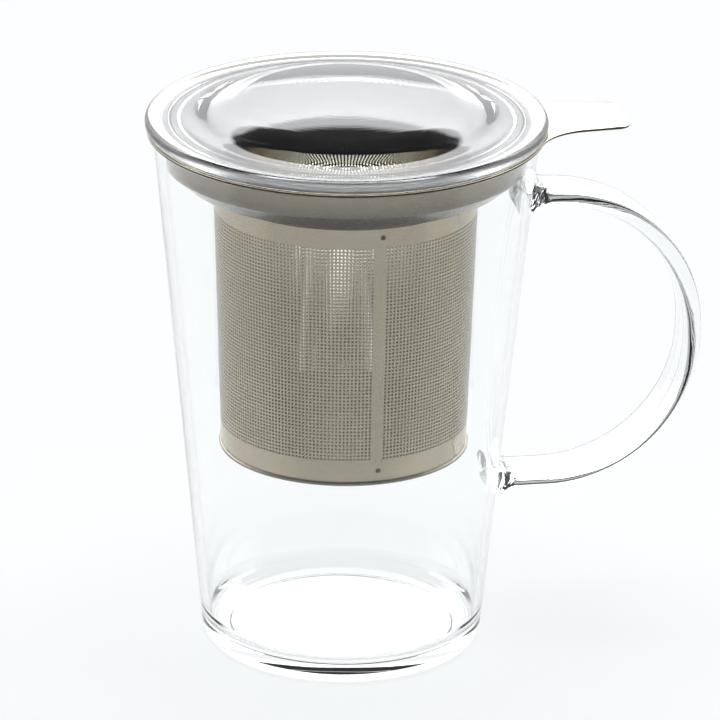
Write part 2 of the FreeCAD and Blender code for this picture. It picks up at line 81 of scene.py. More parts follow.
STRAP_WIDTH = 12.0 * MM
STRAP_THICKNESS = 4.2 * MM
STRAP_TOP = 107.4 * MM
STRAP_BOTTOM = 37.4 * MM
BOW_RADIUS = 34.2 * MM
BOW_STEPS = 40
STRAP_ROUND = STRAP_THICKNESS * 0.48
STRAP_SUNK = 0.02 * MM
PAD_WIDTH = 15.0 * MM
PAD_HEIGHT = 7.4 * MM
PAD_REACH = 2.2 * MM
FLARE_REACH = PAD_REACH * 2.2

SHEET = 0.5 * MM
FLANGE_RADIUS = 45.65 * MM
COLLAR_SIDE_GAP = 0.5 * MM
COLLAR_DEPTH = 10.6 * MM
SHOULDER_DRAW = 0.3 * MM
SHOULDER_RISE = 4.2 * MM
FLANGE_LAP = 1.4 * MM
FLANGE_BEND = 0.9 * MM
SHOULDER_BEND = 1.6 * MM
NECK_BEND = 0.7 * MM
NECK_INSET = 0.4 * MM
DEBURRED_EDGE = 0.08 * MM

TAB_TIP_WIDTH = 17.4 * MM
TAB_ROOT_WIDTH = 21.0 * MM
TAB_CORNER = 3.2 * MM
TAB_ROOT_ROUND = 14.0 * MM

BAND_SHEET = 0.38 * MM
MESH_SHEET = 0.6 * MM
STRAINER_TOP_RADIUS = 30.4 * MM
STRAINER_FOOT_RADIUS = 28.5 * MM
TOP_BAND = 4.8 * MM
BOTTOM_BAND = 5.2 * MM
HOLE_PITCH = 0.86 * MM
HOLE_SHARE = 0.54
PLAIN_EDGE = 2.0 * MM
BASE_LAP = 0.2 * MM
SEAM_WIDTH = 2.4 * MM
SEAM_AZIMUTH = math.radians(-84)
LOCATING_HOLE = 1.2 * MM
CRIMP_LIP = 0.45 * MM
CRIMP_ROUND = 0.3 * MM
BASE_BEND = 0.2 * MM
UNHOLED_RING = 1.0 * MM

LID_THICKNESS = 3.1 * MM
LID_SEAT_GAP = 0.04 * MM
DOME_HEIGHT = 6.4 * MM
CAP_RADIUS = 133.0 * MM
CAP_EDGE = 25.7 * MM
FLANK_SLOPE = math.radians(28)
SHOULDER_ROUND = 19.4 * MM
SWEEP_ROUND = 16.0 * MM
CAP_THICKNESS = 2.2 * MM
INNER_CAP_RADIUS = 108.0 * MM
INNER_CAP_EDGE = 24.5 * MM
INNER_FLANK_SLOPE = math.radians(31)
INNER_SHOULDER_ROUND = 25.3 * MM
INNER_SWEEP_ROUND = 10.5 * MM
LID_STEP_GAP = 0.6 * MM
LID_STEP_WIDTH = 2.4 * MM
LID_STEP_ROUND = 0.6 * MM
LID_STEP_ROOT_IN = 0.5 * MM
LID_STEP_ROOT_OUT = 0.3 * MM
LID_STEP_LAND = 0.6 * MM
LID_RIM_FLAT = 4.0 * MM
LID_EDGE_ROUND = 1.4 * MM

AROUND = 240
HOLD = 0.06 * MM
SQUARE = ((0, 0), (1, 0), (1, 1), (0, 1))

# Depths and tones of the surfaces, with the painted shade on the steel

DRAW_DEPTH = 0.4 * MM
GROUND_FADE = 0.5 * MM
GROUND_ROUGHNESS = 0.35
STREAK_HEIGHT = 0.02 * MM
CLOUD_SIZE = 18 * MM
CLOUD_DARK = 0.93
CLOUD_BRIGHT = 1.05
# Painted shade: a dark line along the steel's edge just under its flat top
EDGE_SHADE_LOW = 0.5 * MM
EDGE_SHADE_HIGH = 0.38 * MM
EDGE_SHADE_TONE = 0.2
FLAT_FADE = 0.1 * MM
# Painted shade: the darkest tone, on steel faces turned inward
INSIDE_SHADE_LOW = -10 * MM
INSIDE_SHADE_HIGH = -2 * MM
INSIDE_SHADE_TONE = 0.09


# Colours and shader nodes

def linear(hex_colour):
    """An sRGB hex colour as linear red, green, blue and alpha."""
    channels = [int(hex_colour[i:i + 2], 16) / 255 for i in (1, 3, 5)]
    return [c / 12.92 if c <= 0.04045 else ((c + 0.055) / 1.055) ** 2.4 for c in channels] + [1.0]


def add_node(tree, kind, settings=None, links=None, **values):
    """Add a node; settings are its properties, values its sockets, links (socket, source socket)."""
    node = tree.nodes.new(kind)
    for name, value in (settings or {}).items():
        setattr(node, name, value)
    for name, value in values.items():
        node.inputs[name.replace("_", " ")].default_value = value
    for socket, source in (links or {}).items():
        tree.links.new(source, node.inputs[socket])
    return node


def smooth_band(tree, value, start, end, low=0.0, high=1.0):
    """A value that runs smoothly from low to high between two limits of another value."""
    return add_node(tree, "ShaderNodeMapRange", settings={"interpolation_type": "SMOOTHSTEP"},
                    links={"Value": value}, From_Min=start, From_Max=end, To_Min=low,
                    To_Max=high).outputs["Result"]


def combine(tree, operation, *values):
    """One step of arithmetic on sockets or plain numbers."""
    node = add_node(tree, "ShaderNodeMath", settings={"operation": operation})
    for socket, value in zip(node.inputs, values):
        if isinstance(value, float):
            socket.default_value = value
        else:
            tree.links.new(value, socket)
    return node.outputs[0]


def new_material(name):
    """A material with its tree of nodes and its shader."""
    material = bpy.data.materials.new(name)
    material.use_nodes = True
    tree = material.node_tree
    shader = tree.nodes["Principled BSDF"]
    return material, tree, shader


def let_light_through(tree, shader):
    """Shadow rays pass the clear glass, so that it throws only a faint shadow on the table."""
    ray = add_node(tree, "ShaderNodeLightPath")
    clear = add_node(tree, "ShaderNodeBsdfTransparent")
    clear.inputs["Color"].default_value = linear("#f4f7f6")
    mix = add_node(tree, "ShaderNodeMixShader", links={"Fac": ray.outputs["Is Shadow Ray"]})
    tree.links.new(shader.outputs[0], mix.inputs[1])
    tree.links.new(clear.outputs[0], mix.inputs[2])
    tree.links.new(mix.outputs[0], tree.nodes["Material Output"].inputs["Surface"])


def borosilicate_glass(name, draw_lines, ripple_mm, tint="#fdfefe", ground_from=None):
    """Clear borosilicate glass, blown or pressed and fire polished.

    The eye sees almost nothing but its edges, and faint draws in the surface that bend what lies
    behind it. From the radius ground_from outward the edge is ground, which turns it a soft pale grey.
    """
    material, tree, shader = new_material(name)
    shader.inputs["Base Color"].default_value = linear(tint)
    shader.inputs["Roughness"].default_value = 0.0
    shader.inputs["IOR"].default_value = 1.47
    shader.inputs["Transmission Weight"].default_value = 1.0
    place = add_node(tree, "ShaderNodeTexCoord")
    stretch = add_node(tree, "ShaderNodeMapping", links={"Vector": place.outputs["Object"]})
    stretch.inputs["Scale"].default_value = (1.0, 1.0, 0.35)
    ripple = add_node(tree, "ShaderNodeTexNoise", links={"Vector": stretch.outputs["Vector"]},
                      Scale=1 / (ripple_mm * MM), Detail=1.0)
    bump = add_node(tree, "ShaderNodeBump", links={"Height": ripple.outputs["Fac"]},
                    Strength=draw_lines, Distance=DRAW_DEPTH)
    tree.links.new(bump.outputs["Normal"], shader.inputs["Normal"])
    if ground_from:
        flat = add_node(tree, "ShaderNodeVectorMath", settings={"operation": "MULTIPLY"},
                        links={0: place.outputs["Object"]})
        flat.inputs[1].default_value = (1.0, 1.0, 0.0)
        reach = add_node(tree, "ShaderNodeVectorMath", settings={"operation": "LENGTH"},
                         links={0: flat.outputs["Vector"]})
        ground = smooth_band(tree, reach.outputs["Value"], ground_from, ground_from + GROUND_FADE,
                             0.0, GROUND_ROUGHNESS)
        tree.links.new(ground, shader.inputs["Roughness"])
    let_light_through(tree, shader)
    return material


def stainless_steel(name, colour, roughness, streak_mm, streak_depth, drawn):
    """Stainless sheet, pressed and polished, with the fine rings that a polishing wheel leaves.

    Polished steel shows the room that it mirrors, and here the dark of that room is painted into its
    colour as painted reflection and shade: drawn gives two heights and the painted tones there, and the
    height from which the flat sheet is bright, with a painted dark line of shade along the edge under it.
    Faces turned inward get the darkest painted shade.
    """
    material, tree, shader = new_material(name)
    shader.inputs["Metallic"].default_value = 1.0
    place = add_node(tree, "ShaderNodeTexCoord")
    stretch = add_node(tree, "ShaderNodeMapping", links={"Vector": place.outputs["Object"]})
    stretch.inputs["Scale"].default_value = (0.04, 0.04, 1.0)
    streaks = add_node(tree, "ShaderNodeTexNoise", links={"Vector": stretch.outputs["Vector"]},
                       Scale=1 / (streak_mm * MM), Detail=6.0, Roughness=0.65)
    clouds = add_node(tree, "ShaderNodeTexNoise", links={"Vector": place.outputs["Object"]},
                      Scale=1 / CLOUD_SIZE, Detail=3.0)
    tone = add_node(tree, "ShaderNodeMapRange", links={"Value": clouds.outputs["Fac"]},
                    To_Min=CLOUD_DARK, To_Max=CLOUD_BRIGHT)
    tinted = add_node(tree, "ShaderNodeMix", settings={"data_type": "RGBA", "blend_type": "MULTIPLY"})
    tinted.inputs[0].default_value = 1.0
    tinted.inputs[6].default_value = linear(colour)
    height = add_node(tree, "ShaderNodeSeparateXYZ", links={"Vector": place.outputs["Object"]})
    low, high, low_tone, high_tone, flat = drawn
    # Painted shade: the sheet darkens from the high tone down to the low tone, for the dark room that it
    # mirrors
    side = smooth_band(tree, height.outputs["Z"], low, high, low_tone, high_tone)
    # Painted shade: a dark line just under the flat top
    edge_shade = smooth_band(tree, height.outputs["Z"], flat - EDGE_SHADE_LOW, flat - EDGE_SHADE_HIGH,
                          1.0, EDGE_SHADE_TONE)
    side = combine(tree, "MULTIPLY", side, edge_shade)
    level = smooth_band(tree, height.outputs["Z"], flat, flat + FLAT_FADE)
    shade = combine(tree, "MULTIPLY", tone.outputs["Result"], combine(tree, "MAXIMUM", side, level))
    # Painted shade: faces turned towards the axis are darkened to the inside tone
    outward = add_node(tree, "ShaderNodeVectorMath", settings={"operation": "MULTIPLY"},
                       links={0: place.outputs["Object"]})
    outward.inputs[1].default_value = (1.0, 1.0, 0.0)
    facing = add_node(tree, "ShaderNodeVectorMath", settings={"operation": "DOT_PRODUCT"},
                      links={0: outward.outputs["Vector"], 1: place.outputs["Normal"]})
    shade = combine(tree, "MULTIPLY", shade,
                    smooth_band(tree, facing.outputs["Value"], INSIDE_SHADE_LOW, INSIDE_SHADE_HIGH,
                                INSIDE_SHADE_TONE, 1.0))
    tree.links.new(shade, tinted.inputs[7])
    tree.links.new(tinted.outputs[2], shader.inputs["Base Color"])
    rough = add_node(tree, "ShaderNodeMapRange", links={"Value": streaks.outputs["Fac"]},
                     To_Min=roughness * 0.7, To_Max=roughness * 1.4)
    tree.links.new(rough.outputs["Result"], shader.inputs["Roughness"])
    bump = add_node(tree, "ShaderNodeBump", links={"Height": streaks.outputs["Fac"]},
                    Strength=streak_depth, Distance=STREAK_HEIGHT)
    tree.links.new(bump.outputs["Normal"], shader.inputs["Normal"])
    return material


CUP_GLASS = borosilicate_glass("blown borosilicate glass", draw_lines=0.05, ripple_mm=16.0)
HANDLE_GLASS = borosilicate_glass("drawn borosilicate glass", draw_lines=0.04, ripple_mm=9.0,
                                  tint="#fbfdfd")
LID_GLASS = borosilicate_glass("pressed borosilicate glass", draw_lines=0.05, ripple_mm=11.0,
                               ground_from=44.9 * MM)
# Painted shade in drawn: the collar darkens from 124 mm down to 113 mm and the etched sheet below 50.4 mm,
# each with a painted dark line under its flat top
POLISHED_STEEL = stainless_steel("polished stainless steel", "#d6ccb8", 0.12, 0.7, 0.2,
                                 drawn=(113.0 * MM, 124.0 * MM, 0.05, 0.42, 124.98 * MM))
ETCHED_STEEL = stainless_steel("etched stainless steel sheet", "#aca38f", 0.16, 0.6, 0.15,
                               drawn=(48.4 * MM, 50.4 * MM, 0.12, 1.0, 112.0 * MM))


# Meshes

def rounded(corners, steps):
    """A closed outline of (radius, height, round) corners with each corner turned into an arc."""
    outline = []
    count = len(corners)
    for i, (across, up, round_by) in enumerate(corners):
        here = Vector((across, up))
        if not round_by:
            outline.append(here)
            continue
        before = Vector(corners[i - 1][:2]) - here
        after = Vector(corners[(i + 1) % count][:2]) - here
        half_turn = before.angle(after) / 2
        middle = here + (before.normalized() + after.normalized()).normalized() * (
            round_by / math.sin(half_turn))
        start = here + before.normalized() * (round_by / math.tan(half_turn)) - middle
        end = here + after.normalized() * (round_by / math.tan(half_turn)) - middle
        for step in range(steps + 1):
            share = step / steps
            swing = start.slerp(end, share) if start.angle(end) > 1e-6 else start
            outline.append(middle + swing.normalized() * round_by)
    return outline


def add_piece(name, verts, faces, material, body, slot, *nodes, smooth=True):
    """A piece from points and faces that rides on a body and stands for its CAD nodes."""
    mesh = bpy.data.meshes.new(name)
    mesh.from_pydata([tuple(v) for v in verts], [], faces)
    mesh.validate()
    mesh.polygons.foreach_set("use_smooth", [smooth] * len(mesh.polygons))
    mesh.materials.append(material)
    piece = bpy.data.objects.new(name, mesh)
    bpy.context.scene.collection.objects.link(piece)
    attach(piece, body)
    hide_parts(*nodes)
    return piece


def held(outline):
    """The closed outline with a point close to each end of its long stretches.

    Smooth shading then bends only beside a corner, and the long faces stay true for the glass.
    """
    points = []
    for i, here in enumerate(outline):
        following = outline[(i + 1) % len(outline)]
        points.append(here)
        stretch = (Vector(following) - Vector(here)).length
        if stretch > 12 * HOLD:
            points.append(Vector(here).lerp(Vector(following), HOLD / stretch))
            points.append(Vector(here).lerp(Vector(following), 1 - HOLD / stretch))
    return points


def lathe(outline, around=AROUND):
    """Points and faces of a closed outline turned once about the mug's axis."""
    verts, faces, rings = [], [], []
    for across, up in held(outline):
        if across < 1e-7:
            rings.append([len(verts)])
            verts.append((0.0, 0.0, up))
            continue
        rings.append(list(range(len(verts), len(verts) + around)))
        for i in range(around):
            angle = 2 * math.pi * i / around
            verts.append((across * math.cos(angle), across * math.sin(angle), up))
    for this, following in zip(rings, rings[1:] + rings[:1]):
        if len(this) == 1 and len(following) == 1:
            continue
        for i in range(around):
            j = (i + 1) % around
            if len(this) == 1:
                faces.append((this[0], following[j], following[i]))
            elif len(following) == 1:
                faces.append((this[i], this[j], following[0]))
            else:
                faces.append((this[i], this[j], following[j], following[i]))
    return verts, faces


def turn_faces_out(piece):
    """Close the piece's mesh and turn its faces outward."""
    work = bmesh.new()
    work.from_mesh(piece.data)
    bmesh.ops.remove_doubles(work, verts=work.verts, dist=1e-7)
    bmesh.ops.recalc_face_normals(work, faces=work.faces)
    work.to_mesh(piece.data)
    work.free()


def cup_outside(height):
    """Radius of the cup's outer face at a height."""
    share = height / CUP_HEIGHT
    return CUP_FOOT_RADIUS + (CUP_RIM_RADIUS - CUP_FOOT_RADIUS) * share


# Cup

def make_cup():
    """The beaker with its fire-polished rim, thick floor and the ring that it stands on."""
    outline = rounded((
        (0.0, CUP_FLOOR, 0),
        (cup_outside(CUP_FLOOR) - CUP_WALL, CUP_FLOOR, FLOOR_ROUND),
        (CUP_RIM_RADIUS - CUP_WALL, CUP_HEIGHT, RIM_ROUND),
        (CUP_RIM_RADIUS, CUP_HEIGHT, RIM_ROUND),
        (CUP_FOOT_RADIUS, 0.0, FOOT_ROUND),
        (FOOT_RING, 0.0, FOOT_RING_ROUND),
        (FOOT_RING - FOOT_RECESS, FOOT_RECESS, FOOT_RING_ROUND),
        (0.0, FOOT_RECESS, 0),
    ), steps=8)
    verts, faces = lathe(outline)
    turn_faces_out(add_piece("mug_cup_glass", verts, faces, CUP_GLASS, "mug", "cup_glass", "mug_cup"))


# Handle

def strap_line():
    """The strap's middle line from its upper end to its lower one, as (reach, height, tangent)."""
    centre = HANDLE_REACH - STRAP_THICKNESS / 2 - BOW_RADIUS
    start_up = cup_outside(STRAP_TOP) + STRAP_SUNK
    start_low = cup_outside(STRAP_BOTTOM) + STRAP_SUNK
    points = []
    for i in range(9):
        points.append((start_up + (centre - start_up) * i / 8, STRAP_TOP, (1.0, 0.0)))
    for bow_height, first, steps in (
            (STRAP_TOP - BOW_RADIUS, math.pi / 2, range(1, BOW_STEPS + 1)),
            (STRAP_BOTTOM + BOW_RADIUS, 0.0, range(BOW_STEPS + 1))):
        for i in steps:
            angle = first - math.pi / 2 * i / BOW_STEPS
            points.append((centre + BOW_RADIUS * math.cos(angle),
                           bow_height + BOW_RADIUS * math.sin(angle),
                           (math.sin(angle), -math.cos(angle))))
    for i in range(1, 13):
        points.append((centre + (start_low - centre) * i / 12, STRAP_BOTTOM, (-1.0, 0.0)))
    return points


def strap_section(half_width, half_thick):
    """A round-cornered section of the strap, as (across, outward) pairs."""
    return held(rounded((
        (half_width, -half_thick, STRAP_ROUND),
        (half_width, half_thick, STRAP_ROUND),
        (-half_width, half_thick, STRAP_ROUND),
        (-half_width, -half_thick, STRAP_ROUND),
    ), steps=8))


def make_handle():
    """The strap, swept along its line and flared where it is fused to the cup."""
    line = strap_line()
    verts, faces = [], []
    for reach, height, (along, rise) in line:
        from_wall = reach - cup_outside(height)
        flare = max(0.0, 1 - from_wall / FLARE_REACH) ** 2
        half_width = STRAP_WIDTH / 2 + (PAD_WIDTH - STRAP_WIDTH) / 2 * flare
        half_thick = STRAP_THICKNESS / 2 + (PAD_HEIGHT - STRAP_THICKNESS) / 2 * flare
        for across, outward in strap_section(half_width, half_thick):
            x = reach - rise * outward
            z = height + along * outward
            if from_wall < PAD_REACH:
                curve = cup_outside(z) - math.sqrt(max(cup_outside(z) ** 2 - across ** 2, 0))
                lean = cup_outside(z) - cup_outside(height)
                x += (lean - curve) * (1 - max(0.0, from_wall) / PAD_REACH)
            verts.append((x, across, z))
    ring = len(verts) // len(line)
    for i in range(len(line) - 1):
        for j in range(ring):
            k = (j + 1) % ring
            faces.append((i * ring + j, i * ring + k, (i + 1) * ring + k, (i + 1) * ring + j))
    faces.append(tuple(range(ring)))
    last = (len(line) - 1) * ring
    faces.append(tuple(last + j for j in reversed(range(ring))))
    turn_faces_out(add_piece("mug_handle_strap", verts, faces, HANDLE_GLASS, "mug", "handle_glass",
                             "mug_handle"))


# Lid

def arc_outline(start, from_slope, to_slope, radius, steps):
    """Points (radius, height, slope) that follow an arc outward from a start between two slopes.

    Slopes are falls in radians, and a negative radius bends the outline back to level.
    """
    points = []
    for i in range(1, steps + 1):
        slope = from_slope + (to_slope - from_slope) * i / steps
        points.append((start[0] + radius * (math.sin(slope) - math.sin(from_slope)),
                       start[1] + radius * (math.cos(slope) - math.cos(from_slope)), slope))
    return points


def dome_outline(top, foot, cap_radius, cap_edge, flank, shoulder, sweep):
    """One face of the dome from its top out to a flat, as points: cap, shoulder, flank and sweep."""
    cap = math.asin(cap_edge / cap_radius)
    points = [(0.0, top, 0.0)]
    points += arc_outline(points[-1], 0.0, cap, cap_radius, 22)
    points += arc_outline(points[-1], cap, flank, shoulder, 10)
    points += arc_outline(points[-1], flank, 0.0, -sweep, 14)
    drop = points[-1][1] - foot
    return [Vector((across, up - drop * (across / points[-1][0]) ** 2)) for across, up, slope in points]


def make_lid():
    """The pressed lid: flat rim with its locating step, flank, shoulder and shallow cap."""
    top = FLANGE_TOP + LID_THICKNESS
    step_outer = cup_outside(CUP_HEIGHT) - CUP_WALL - COLLAR_SIDE_GAP - SHEET - LID_STEP_GAP
    step_inner = step_outer - LID_STEP_WIDTH
    outer = dome_outline(top + DOME_HEIGHT, top, CAP_RADIUS, CAP_EDGE, FLANK_SLOPE, SHOULDER_ROUND,
                         SWEEP_ROUND)
    under = FLANGE_TOP + LID_SEAT_GAP
    edge = rounded((
        (step_inner - LID_STEP_LAND, under, 0),
        (step_inner, under, LID_STEP_ROOT_IN),
        (step_inner, LID_STEP_FOOT, LID_STEP_ROUND),
        (step_outer, LID_STEP_FOOT, LID_STEP_ROUND),
        (step_outer, under, LID_STEP_ROOT_OUT),
        (LID_RADIUS, under, LID_EDGE_ROUND),
        (LID_RADIUS, top, LID_EDGE_ROUND),
        (LID_RADIUS - LID_RIM_FLAT, top, 0),
    ), steps=7)
    inner = dome_outline(top + DOME_HEIGHT - CAP_THICKNESS, under, INNER_CAP_RADIUS, INNER_CAP_EDGE,
                         INNER_FLANK_SLOPE, INNER_SHOULDER_ROUND, INNER_SWEEP_ROUND)
    verts, faces = lathe(edge + outer[::-1] + inner)
    turn_faces_out(add_piece("lid_glass_dome", verts, faces, LID_GLASS, "lid", "lid_glass", "lid_glass"))


# Collar with its flange and grip tab

def plan_outline():
    """Plan of the flange and tab, anticlockwise from the tip's middle, as (x, y) points."""
    half_tip = TAB_TIP_WIDTH / 2
    half_root = TAB_ROOT_WIDTH / 2
    root_x = math.sqrt(FLANGE_RADIUS ** 2 - half_root ** 2)
    lean = math.atan2(half_root - half_tip, TAB_REACH - root_x)
    side_direction = Vector((math.cos(lean), -math.sin(lean)))
    side_normal = Vector((math.sin(lean), math.cos(lean)))
    tip = Vector((TAB_REACH, half_tip))
    # The fillet's circle touches the tab's side and, from outside, the flange's edge
    target = FLANGE_RADIUS + TAB_ROOT_ROUND
    offset = tip + side_normal * TAB_ROOT_ROUND
    along = offset.dot(side_direction)
    back = math.sqrt(target ** 2 - (offset - side_direction * along).length_squared)
    centre = offset - side_direction * (along - back)
    on_flange = centre.normalized() * FLANGE_RADIUS
    start = math.atan2(-side_normal.y, -side_normal.x)
    end = math.atan2(on_flange.y - centre.y, on_flange.x - centre.x)
    points = [Vector((TAB_REACH, half_tip * i / 4)) for i in range(3)]
    corner = Vector((TAB_REACH - TAB_CORNER, half_tip + (math.tan(lean) - 1) * TAB_CORNER))
    for i in range(7):
        angle = math.pi / 2 * i / 6
        points.append(corner + TAB_CORNER * Vector((math.cos(angle), math.sin(angle))))
    side_end = centre - side_normal * TAB_ROOT_ROUND
    side_start = points[-1].copy()
    for i in range(1, 9):
        points.append(side_start.lerp(side_end, i / 9))
    for i in range(9):
        angle = start + (end - start) * i / 8
        points.append(centre + TAB_ROOT_ROUND * Vector((math.cos(angle), math.sin(angle))))
    first = math.atan2(on_flange.y, on_flange.x)
    steps = 110
    for i in range(1, steps):
        angle = first + (math.pi - first) * i / steps
        points.append(FLANGE_RADIUS * Vector((math.cos(angle), math.sin(angle))))
    mirrored = [Vector((p.x, -p.y)) for p in reversed(points[1:])]
    return points + [Vector((-FLANGE_RADIUS, 0))] + mirrored


def make_collar():
    """The pressed bowl with its flange and tab, as one sheet that a modifier gives its thickness."""
    side_top = cup_outside(CUP_HEIGHT) - CUP_WALL - COLLAR_SIDE_GAP
    middle_sheet = SHEET / 2
    side_foot = FLANGE_TOP - COLLAR_DEPTH
    shoulder = side_top - SHOULDER_DRAW - middle_sheet
    neck_radius = STRAINER_TOP_RADIUS - NECK_INSET - middle_sheet
    taper = (STRAINER_TOP_RADIUS - STRAINER_FOOT_RADIUS) / (NECK_TOP - STRAINER_FOOT)
    profile = rounded((
        (side_top + FLANGE_LAP, FLANGE_TOP - middle_sheet, 0),
        (side_top - middle_sheet, FLANGE_TOP - middle_sheet, FLANGE_BEND),
        (shoulder, side_foot + SHOULDER_RISE, SHOULDER_BEND),
        (shoulder - SHOULDER_RISE, side_foot + middle_sheet, SHOULDER_BEND),
        (neck_radius, NECK_TOP + middle_sheet, NECK_BEND),
        (neck_radius - taper * (NECK_TOP - NECK_FOOT), NECK_FOOT, 0),
    ), steps=7)
    # The profile is open, so the two points held on its closing stretch are left off
    profile = held(profile)[:-2]
    plan = plan_outline()
    flange_steps = 6
    verts, faces = [], []
    for point in plan:
        angle = math.atan2(point.y, point.x)
        outward = Vector((math.cos(angle), math.sin(angle)))
        inner = profile[0].x
        for i in range(flange_steps):
            reach = point.length + (inner - point.length) * i / flange_steps
            x, y = outward * reach
            verts.append((x, y, FLANGE_TOP - middle_sheet))
        for across, up in profile:
            x, y = outward * across
            verts.append((x, y, up))
    ring = flange_steps + len(profile)
    count = len(plan)
    for i in range(count):
        k = (i + 1) % count
        for j in range(ring - 1):
            faces.append((i * ring + j, i * ring + j + 1, k * ring + j + 1, k * ring + j))
    piece = add_piece("infuser_collar_pressing", verts, faces, POLISHED_STEEL, "infuser",
                      "polished_steel", "infuser_collar")
    turn_faces_out(piece)
    thick = piece.modifiers.new("sheet", "SOLIDIFY")
    thick.thickness = SHEET
    thick.offset = 0.0
    edge = piece.modifiers.new("deburred edge", "BEVEL")
    edge.width = DEBURRED_EDGE
    edge.segments = 2
    edge.limit_method = "ANGLE"
    edge.angle_limit = math.radians(60)


# Strainer wall: the etched sheet with its real holes

def wall_radius(height):
    """Radius of the strainer's outer face at a height."""
    share = (height - STRAINER_FOOT) / (NECK_TOP - STRAINER_FOOT)
    return STRAINER_FOOT_RADIUS + (STRAINER_TOP_RADIUS - STRAINER_FOOT_RADIUS) * share


def on_wall(angle, height, depth):
    """A point at a depth under the strainer's outer face."""
    radius = wall_radius(height) - depth
    return (radius * math.cos(angle), radius * math.sin(angle), height)


def add_holed_patch(verts, faces, left, right, low, high):
    """A patch of plain band with the small round hole that the welder's pin goes through."""
    sides = 24
    middle = (left + right) / 2
    level = (low + high) / 2
    half_turn = (right - left) / 2
    half_rise = (high - low) / 2
    start = len(verts)
    for depth in (0.0, BAND_SHEET):
        for i in range(sides):
            angle = 2 * math.pi * (i + 0.5) / sides
            across, up = math.cos(angle), math.sin(angle)
            reach = 1 / max(abs(across), abs(up))
            verts.append(on_wall(middle + half_turn * across * reach, level + half_rise * up * reach, depth))
        for i in range(sides):
            angle = 2 * math.pi * (i + 0.5) / sides
            turn = LOCATING_HOLE / 2 * math.cos(angle) / wall_radius(level)
            verts.append(on_wall(middle + turn, level + LOCATING_HOLE / 2 * math.sin(angle), depth))
    for i in range(sides):
        j = (i + 1) % sides
        ring = [start + k * sides for k in range(4)]
        faces.append([ring[0] + i, ring[0] + j, ring[1] + j, ring[1] + i])
        faces.append([ring[2] + j, ring[2] + i, ring[3] + i, ring[3] + j])
        faces.append([ring[1] + i, ring[1] + j, ring[3] + j, ring[3] + i])


def add_cell(faces, point, column, row, holed, kind="grid"):
    """One cell of the sheet on its two faces, and the sides of its hole if it has one."""
    hole_sides = []
    for side in (0, 1):
        outer = [point(kind, column + across, row + up, side) for across, up in SQUARE]
        if not holed:
            faces.append(outer if side == 0 else outer[::-1])
            continue
        inner = [point("hole", column + 0.5 + (across - 0.5) * HOLE_SHARE,
                       row + 0.5 + (up - 0.5) * HOLE_SHARE, side) for across, up in SQUARE]
        hole_sides.append(inner)
        for i in range(4):
            j = (i + 1) % 4
            quad = [outer[i], outer[j], inner[j], inner[i]]
            faces.append(quad if side == 0 else quad[::-1])
    if holed:
        front, back = hole_sides
        for i in range(4):
            j = (i + 1) % 4
            faces.append([front[i], front[j], back[j], back[i]])


def make_strainer_wall():
    """The etched sheet as a front half and a back half, each hole cut right through it."""
    low = STRAINER_FOOT + BOTTOM_BAND
    high = NECK_TOP - TOP_BAND
    rows = round((high - low) / HOLE_PITCH)
    columns = round(2 * math.pi * wall_radius((low + high) / 2) / HOLE_PITCH / 2) * 2
    seam_columns = max(1, round(SEAM_WIDTH / HOLE_PITCH))
    step = 2 * math.pi / columns
    row_step = (high - low) / rows
    levels = {"bottom": (STRAINER_FOOT, BOTTOM_BAND), "top": (high, TOP_BAND),
              "grid": (low, row_step), "hole": (low, row_step)}
    bands = ("bottom", "top")
    for part, name in enumerate(("strainer_wall_back", "strainer_wall_front")):
        verts, faces, index = [], [], {}

        def point(kind, across, up, side):
            """The number of a point of the sheet, which is made the first time it is asked for."""
            key = (kind, across, up, side)
            if key not in index:
                index[key] = len(verts)
                foot, rise = levels[kind]
                sheet = BAND_SHEET if kind in bands else MESH_SHEET
                verts.append(on_wall(SEAM_AZIMUTH + across * step, foot + up * rise, sheet * side))
            return index[key]

        first = columns // 4 + part * columns // 2
        last = first + columns // 2
        for column in range(first, last):
            # At the seam the two plain bands get a patch with a locating hole instead
            if column not in (columns - 1, columns):
                for band in bands:
                    add_cell(faces, point, column, 0, False, band)
            from_seam = column % columns
            plain = from_seam < seam_columns // 2 or from_seam >= columns - (seam_columns + 1) // 2
            for row in range(rows):
                add_cell(faces, point, column, row, not plain)
        if first < columns < last:
            for band in bands:
                foot, rise = levels[band]
                add_holed_patch(verts, faces, SEAM_AZIMUTH - step, SEAM_AZIMUTH + step, foot, foot + rise)
        add_piece(name, verts, faces, ETCHED_STEEL, "infuser", "etched_steel", "strainer_wall",
                  smooth=False)


# Strainer base

